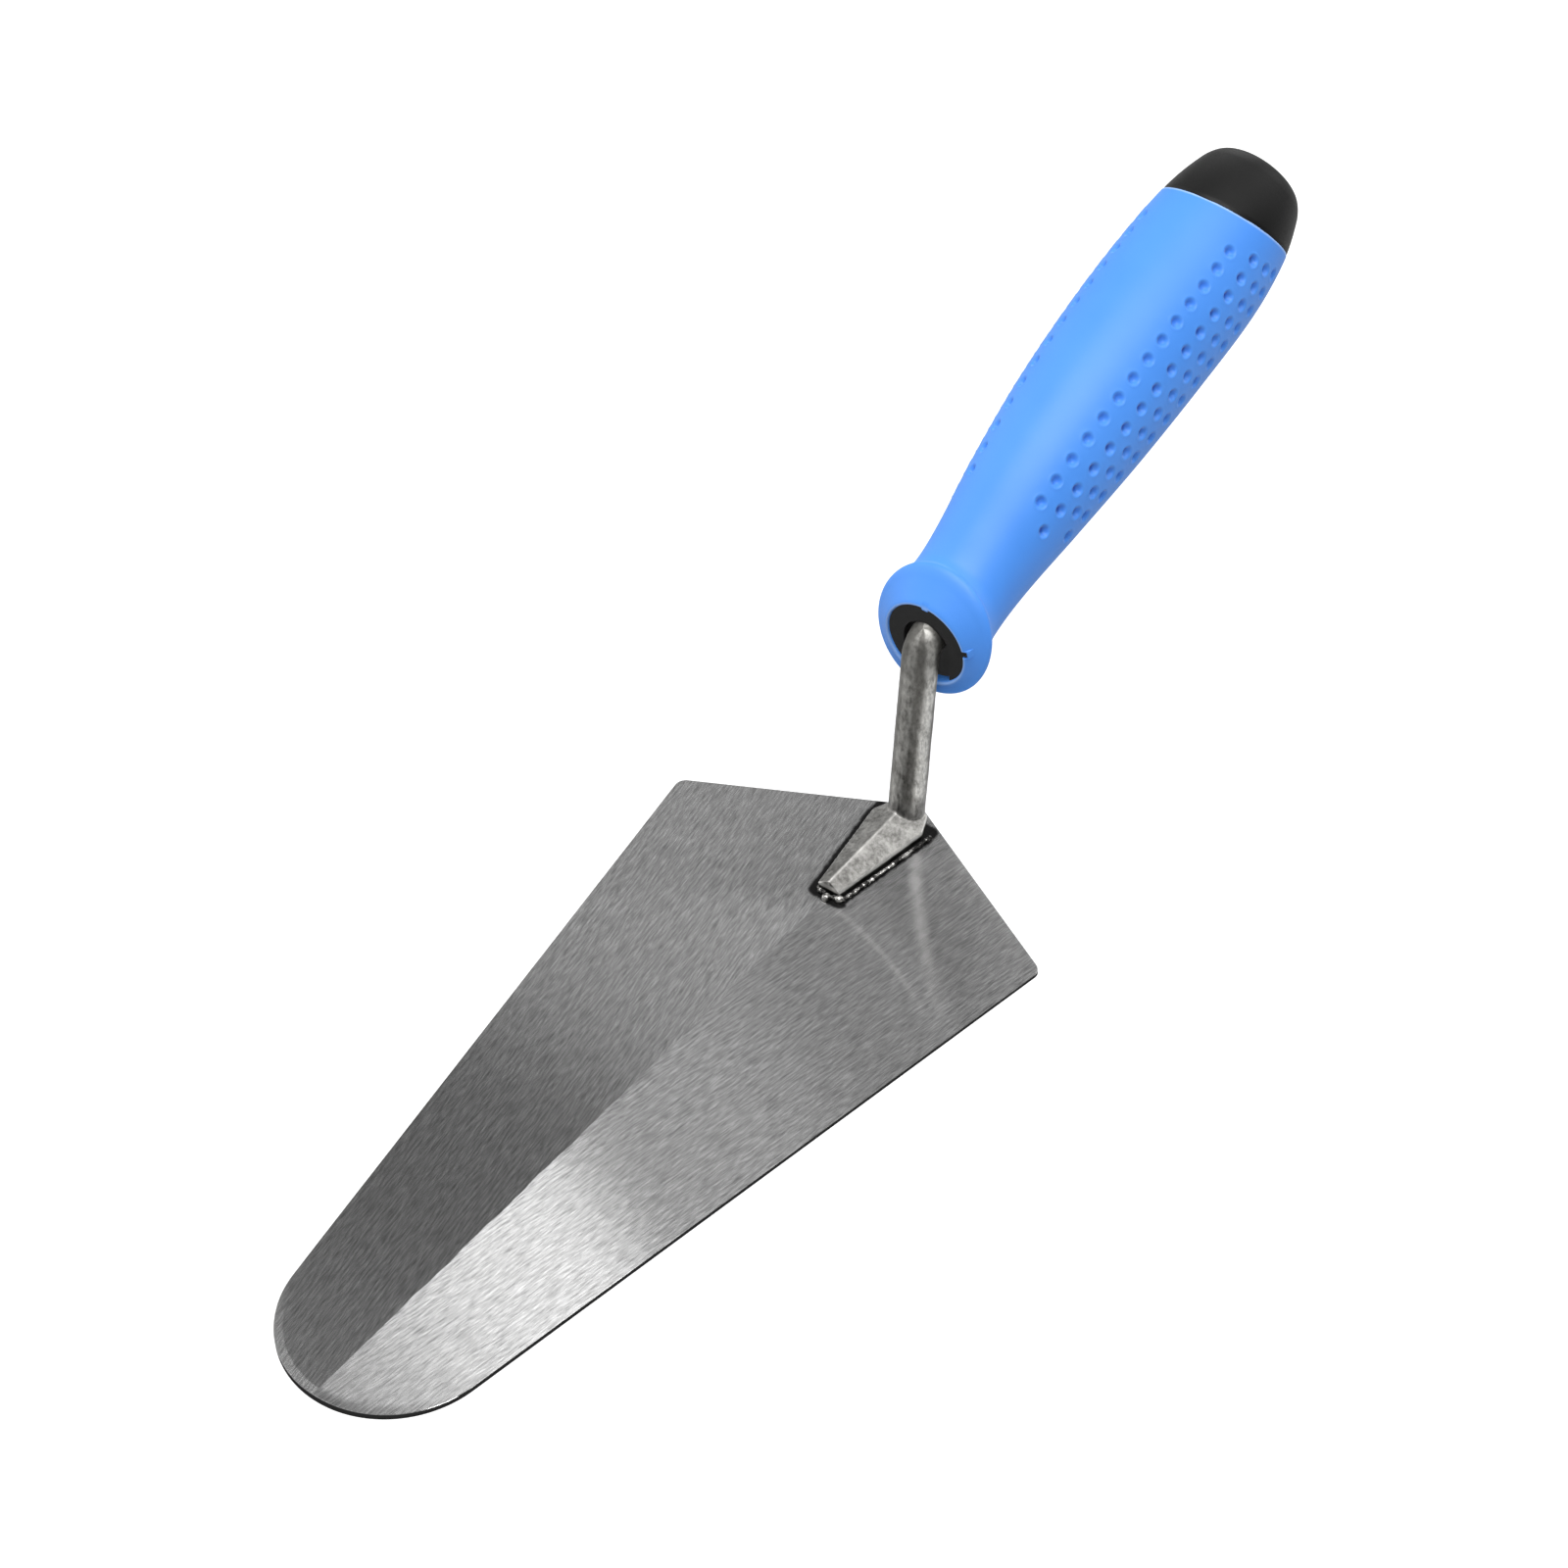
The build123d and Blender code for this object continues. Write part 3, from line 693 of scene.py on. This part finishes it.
def curve_rings(a, b, c, steps, full=1.0):
    """Rings that turn smoothly from a to c round the corner b, nearer to b the fuller they are."""
    t = np.linspace(0.0, 1.0, steps)[:, None, None]
    wa, wb, wc = (1 - t) ** 2, 2 * t * (1 - t) * full, t * t
    return (wa * a + wb * b + wc * c) / (wa + wb + wc)


def past_seam(points):
    """How far points are behind the seam's plane."""
    return (points - AXIS_ZERO - AXIS_DIR * SEAM_AT) @ SEAM_NORMAL


def seam_station(theta):
    """Station at which each line of the handle's surface crosses the seam's plane."""
    lo, hi = np.full_like(theta, 96.0), np.full_like(theta, 121.0)
    for _ in range(40):
        mid = (lo + hi) / 2
        ahead = past_seam(grip_point(mid, theta)) > 0.0
        hi = np.where(ahead, mid, hi)
        lo = np.where(ahead, lo, mid)
    return (lo + hi) / 2


def grip_angles():
    """Angles round the handle, closer together over the dimpled flanks."""
    fine = np.radians(np.linspace(36.0, 101.0, 64))
    top = np.radians(np.linspace(-36.0, 36.0, 73)[:-1])
    low = np.radians(np.linspace(101.0, 259.0, 56)[1:-1])
    return np.concatenate((top, fine, low, 2 * np.pi - fine[::-1][:-1]))


def wave(theta, seed, amount):
    """Small uneven ring-shaped offset."""
    around = [Vector((2.2 * math.cos(t), 2.2 * math.sin(t), seed)) for t in theta]
    return amount * np.array([noise.noise(v) for v in around])


def turned(theta, start):
    """Angle from start to theta, between minus and plus half a turn."""
    return (theta - start + math.pi) % (2 * math.pi) - math.pi


def mouth_rings(theta):
    """Rings from the collar's seat, with its notch and nib, over the lip and face to the guard's neck."""
    mouth = circle(NOSE_X, LIP_R, theta)
    face = grip_point(GUARD_AT, theta) - mouth
    notch = 1.0 * (np.abs(turned(theta, NOTCH_AT)) < KEY_HALF)
    nib = 1.0 * (np.abs(turned(theta, 0.0)) < KEY_HALF)
    bore = NOSE_R + NOTCH_DEPTH * notch - NIB_RISE * nib
    lip_out = mouth + face * (0.11 + 0.24 * notch)[:, None]
    rings = [circle(NOSE_BACK, bore, theta), circle(NOSE_X + 1.3, bore, theta)]
    seat, corner = circle(NOSE_X + 0.6, bore, theta), circle(NOSE_X - 0.5, bore + 0.2, theta)
    rings += list(curve_rings(seat, corner, lip_out, 8))
    rings += [mouth + face * (f + 0.4 * (0.5 - f) * notch)[:, None] for f in np.linspace(0.16, 0.58, 9)]
    rim, neck = grip_point(GUARD_AT - 0.2, theta, -0.30), grip_point(BODY_FROM - 0.2, theta)
    rings += list(curve_rings(mouth + face * 0.64, rim, neck, 16, 1.2))
    return rings


def dimples():
    """Station, angle from the top and painted shade of every dimple."""
    for (angle, first, count, pitch, closing), shade in zip(DIMPLE_ROWS, PIT_PAINTED_SHADE):
        for k in range(count):
            for side in (1, -1):
                yield first + k * pitch - k * k * closing, side * math.radians(angle), shade


def dimple_depth(stations, theta):
    """Depth of the dimples below the plain handle, a little less than nothing on their raised rims."""
    depth = np.zeros_like(stations)
    for at, angle, shade in dimples():
        around = float(column(at, 2)) * turned(theta, angle)
        rho = np.hypot(stations - at, around) / DIMPLE_R
        depth += DIMPLE_DEPTH * (1 - smooth((rho - 0.35) / 0.65))
        depth -= DIMPLE_RIM * np.exp(-((rho - 1.12) / 0.14) ** 2)
    return depth


def shade_grip(piece):
    """Marks painted shade on the dimples' floors as pit, and a painted highlight on the edges at the seam
    and round the mouth as lip.
    """
    co = np.zeros(len(piece.data.vertices) * 3)
    piece.data.vertices.foreach_get("co", co)
    co = co.reshape(-1, 3) / MM
    shade = np.zeros(len(co))
    for at, angle, strength in dimples():
        # painted shade, its centre a little towards the handle's top, where the dimple's wall shades the
        # floor
        floor_at = grip_point(at, angle - math.copysign(math.radians(1.6), angle), 0.6)
        near = 1 - smooth((np.linalg.norm(co - floor_at, axis=1) - 0.45) / 0.70)
        shade = np.maximum(shade, strength * near)
    pit_shade = piece.data.attributes.new("pit_shade", "FLOAT", "POINT")
    pit_shade.data.foreach_set("value", shade)
    # painted highlight along the mouth's rim and along the sleeve's edge at the seam
    from_mouth = np.hypot(co[:, 0] - NOSE_X + 0.1, np.hypot(co[:, 1], co[:, 2] - NOSE_Z) - NOSE_R - 0.25)
    mouth_lip = 0.8 * (1 - smooth((from_mouth - 0.25) / 0.30))
    seam_lip = smooth((past_seam(co) + 0.60) / 0.30)
    lip = piece.data.attributes.new("lip", "FLOAT", "POINT")
    lip.data.foreach_set("value", np.maximum(seam_lip, mouth_lip))


def build_grip(mat):
    """Sleeve as rings from the collar's seat over the guard to the seam, dimpled on both flanks."""
    theta = grip_angles()
    n = len(theta)
    end = seam_station(theta) + wave(theta, 4.0, 0.18) + wave(theta * 3.0, 9.0, 0.08)
    stations = [np.full(n, s) for s in np.linspace(BODY_FROM, BODY_FINE, 52)]
    stations += [np.full(n, s) for s in np.linspace(BODY_FINE + 0.35, BODY_TO, 236)]
    stations += [BODY_TO + (end - 0.45 - BODY_TO) * f for f in np.linspace(0.0, 1.0, 48)[1:]]
    stations = np.array(stations)
    body = np.array([grip_point(s, theta) for s in stations])

    # dimples, pressed in along the surface's own normal
    along = np.gradient(body, axis=0)
    around = np.roll(body, -1, axis=1) - np.roll(body, 1, axis=1)
    normal = np.cross(around, along)
    normal /= np.linalg.norm(normal, axis=-1, keepdims=True)
    outward = body - (AXIS_ZERO + stations[..., None] * AXIS_DIR)
    normal *= np.sign((normal * outward).sum(-1, keepdims=True))
    depth = dimple_depth(stations, np.broadcast_to(theta, stations.shape))

    rings = mouth_rings(theta) + list(body - normal * depth[..., None])
    last, over, under = end - 0.35, grip_point(end + 0.1, theta, -0.14), grip_point(end, theta, 0.6)
    rings += list(curve_rings(grip_point(last, theta), over, under, 7))
    rings += [grip_point(end - 0.1, theta, 1.0), grip_point(end - 0.3, theta, 2.2)]
    rings = np.array(rings)
    faces = ring_faces(len(rings), n)
    piece = new_piece("grip_skin", rings.reshape(-1, 3), faces, mat, 60.0, ("grip_sleeve",))
    shade_grip(piece)
    piece.visible_glossy = False
    return piece


def build_cap(mat):
    """Cap from inside the sleeve's seam to its flat end, with rounded edges."""
    theta = np.linspace(0.0, 2 * np.pi, 145)[:-1]
    n = len(theta)
    start = seam_station(theta) - 0.5
    rings = [grip_point(start, theta, 3.0), grip_point(start, theta, 0.55)]
    rings += [grip_point(start + (CAP_TO - 0.2 - start) * f, theta, 0.32 * (1 - smooth(f * 9.0)) + 0.06)
              for f in np.linspace(0.0, 1.0, 60)]
    rim, corner = grip_point(CAP_TO, theta, 0.08), grip_point(CAP_CORNER, theta, 0.15)
    rings += list(curve_rings(rim, corner, grip_point(CAP_FLAT, theta, 2.4), 12))[1:]
    rings += [grip_point(CAP_FLAT, theta, inset) for inset in (4.0, 7.0, 9.8)]
    rings = np.array(rings)
    faces = ring_faces(len(rings), n, (False, True))
    piece = new_piece("cap_shell", rings.reshape(-1, 3), faces, mat, 50.0, ("butt_cap",))
    piece.visible_glossy = False
    return piece


# ------------------------------------------------------------------ tang and weld
TANG_VOXEL, WELD_VOXEL = 0.25, 0.2
# for each flank of the foot: side, drop radius, distance out from the foot, spacing
FLANK_DROPS = ((-1, 0.62, 0.75, 0.85), (1, 0.42, 0.15, 0.75))
# drops round the toe, small uneven ones and two big ones: distance ahead of it, y
TOE_DROPS = ((0.35, -1.7), (0.35, 1.3), (0.35, 2.2))
BIG_DROPS = ((1.35, -0.35), (0.1, -2.9))


def forged(x, y, z):
    """Uneven skin of the forging in mm, coarse hammering and fine scale."""
    coarse = noise.noise(Vector((x, y, z)) * 0.16)
    fine = noise.noise(Vector((x, y, z)) * 0.75 + Vector((9.0, 0.0, 0.0)))
    return 0.06 * coarse + 0.04 * fine


def build_tang(mat):
    """The CAD tang under a softened, slightly uneven skin."""
    source = cad_nodes["tang"].data.copy()
    bm = bmesh.new()
    bm.from_mesh(source)
    bmesh.ops.remove_doubles(bm, verts=bm.verts, dist=1e-6)
    bm.to_mesh(source)
    bm.free()
    obj = remeshed("tang_forging", source, TANG_VOXEL, 2)
    push(obj, forged)
    obj.visible_glossy = False
    return finish_piece(obj, mat, 60.0, ("tang",))


def blade_top(x, y):
    return RIDGE_HEEL - RIDGE_FALL * (HEEL_X - x) - SIDE_FALL * abs(y)


def build_weld(mat):
    """Overlapping drops of weld metal along both flanks of the foot and round its toe."""
    rng = random.Random(5)
    toe, wide = np.array((FOOT_TOE, FOOT_HALF[0])), np.array((FOOT_WIDE, FOOT_HALF[1]))
    flank = (toe - wide) / np.linalg.norm(toe - wide)
    away = np.array((-flank[1], flank[0]))
    away = away if away[1] > 0 else -away
    length = np.linalg.norm(toe - wide)
    bm = bmesh.new()

    def drop(x, y, r, rise):
        at = Vector((x, y, blade_top(x, y) + rise)) * MM
        made = bmesh.ops.create_icosphere(bm, subdivisions=2, radius=r * MM)
        bmesh.ops.scale(bm, vec=(1.0, 1.0, 0.85), verts=made["verts"])
        bmesh.ops.translate(bm, vec=at, verts=made["verts"])

    for side, r, out, step in FLANK_DROPS:
        d = -1.6
        while d < length:
            at = wide + flank * d + away * out
            drop(at[0], side * at[1], r + rng.uniform(-0.08, 0.10), 0.16 + rng.uniform(-0.06, 0.08))
            d += step + rng.uniform(-0.12, 0.12)
    for ahead, y in TOE_DROPS:
        drop(FOOT_TOE - ahead, y, 0.75 + rng.uniform(-0.1, 0.1), 0.2)
    for ahead, y in BIG_DROPS:
        drop(FOOT_TOE - ahead, y, 1.15, 0.35)
    mesh = bpy.data.meshes.new("weld_drops")
    bm.to_mesh(mesh)
    bm.free()
    obj = remeshed("weld_bead", mesh, WELD_VOXEL, 2)
    return finish_piece(obj, mat, 60.0, ("foot_weld",))


build_blade(steel_blade())
build_grip(soft_grip())
build_cap(plastic("cap_black_plastic", CAP_GREY, 0.46, 1.28))
build_tang(steel_forged())
build_weld(steel_weld())

# ------------------------------------------------------------------ stage
FLOOR_HALF, FLOOR_GREY = 6.0, 0.30
FLOOR_SEEN, FLOOR_FELT = 0.90, 0.30    # the floor's glow as the camera sees it and as the trowel does


def build_floor():
    """Pale floor that glows more to the camera than to the trowel, so that it looks plain and shadowless."""
    m = Mat("floor_pale")
    seen = m.tree.nodes.new("ShaderNodeLightPath").outputs["Is Camera Ray"]
    m.shader(Base_Color=grey(FLOOR_GREY), Roughness=0.9, Specular_IOR_Level=0.0,
             Emission_Color=grey(1.0), Emission_Strength=m.ramp(seen, 0.0, 1.0, FLOOR_FELT, FLOOR_SEEN))
    mesh = bpy.data.meshes.new("floor")
    a = FLOOR_HALF
    mesh.from_pydata([(-a, -a, 0), (a, -a, 0), (a, a, 0), (-a, a, 0)], [], [(0, 1, 2, 3)])
    mesh.materials.append(m.mat)
    floor = bpy.data.objects.new("floor", mesh)
    scene.collection.objects.link(floor)
    return floor


build_floor()

# ------------------------------------------------------------------ light
ROOM_LIGHT, REAR_LIGHT = 0.055, 0.35
BAND_LIGHT, STRIP_LIGHT, HEEL_LIGHT = 3.2, 1.3, 0.40
FOOT_LIGHT, WALL_LIGHT, CAP_LIGHT = 1.5, 1.2, 1.8
KEY_TOWARDS, KEY_DISTANCE, KEY_SIZE, KEY_POWER = (-0.12, -0.05, 1.0), 2.0, (0.6, 2.0), 37.5


def studio_world():
    """Dim room whose soft panels each light one part: strengths over the unit sphere of directions."""
    world = bpy.data.worlds.new("studio")
    scene.world = world
    world.use_nodes = True
    w = Tree(world.node_tree)
    x, y, z = w.split(w.tree.nodes.new("ShaderNodeTexCoord").outputs["Generated"])
    c, s = math.cos(EDGE_ANGLE), math.sin(EDGE_ANGLE)
    # how far a direction points along the grinding marks at y below 0, and along those at y above 0;
    # each half of the blade smears the room across its own marks, so only this counts there
    q_right = w.minus(w.times(x, c), w.times(y, s))
    q_left = w.plus(w.times(x, c), w.times(y, s))
    above = w.ramp(z, 0.0, 0.15)

    # a narrow bright band and a wide paler strip, both seen in the half with y below 0
    near = w.times(w.rise(y, -0.75, -0.55), w.fall(y, 0.05, 0.30), above)
    band = w.times(w.rise(q_right, 0.29, 0.36), w.ramp(q_right, 0.379, 0.386, 1.0, 0.0), near, BAND_LIGHT)
    wide = w.times(w.rise(q_right, 0.24, 0.30), w.fall(q_right, 0.415, 0.452, 0.30))
    strip = w.times(wide, w.fall(q_right, 0.50, 0.56), near, STRIP_LIGHT)

    # a soft light beyond the handle, seen in the heel end of the half with y above 0
    heel = w.times(w.rise(q_left, 0.49, 0.60), w.fall(w.absolute(y), 0.6, 0.9), above, HEEL_LIGHT)

    # panels for the foot and shank, for the handle's far outline and for the cap, and a fill opposite
    foot = w.times(w.rise(x, 0.40, 0.50), w.rise(y, -0.65, -0.5), w.fall(y, -0.15, 0.0), above, FOOT_LIGHT)
    wall = w.times(w.rise(y, 0.65, 0.75), w.fall(z, 0.75, 0.9), w.fall(x, 0.25, 0.42), WALL_LIGHT)
    cap = w.times(w.rise(x, 0.60, 0.72), w.rise(y, 0.10, 0.30), above, CAP_LIGHT)
    rear = w.times(w.fall(x, -0.25, 0.05), above, REAR_LIGHT)

    background = w.tree.nodes["Background"]
    w.put(background.inputs["Strength"], w.plus(band, strip, heel, ROOM_LIGHT, foot, wall, cap, rear))
    background.inputs["Color"].default_value = grey(1.0)


def soft_box(name, towards, distance, size, power):
    """Area light that faces the origin from the direction towards, its first side along X."""
    d = Vector(towards).normalized()
    light = bpy.data.lights.new(name, "AREA")
    light.shape = "RECTANGLE"
    light.size, light.size_y = size
    light.energy = power
    obj = bpy.data.objects.new(name, light)
    across = (Vector((1.0, 0.0, 0.0)) - d * d.x).normalized()
    facing = Matrix((across, d.cross(across), d)).transposed().to_4x4()
    obj.matrix_world = Matrix.Translation(d * distance) @ facing
    obj.visible_camera = False
    scene.collection.objects.link(obj)


studio_world()
soft_box("key", KEY_TOWARDS, KEY_DISTANCE, KEY_SIZE, KEY_POWER)
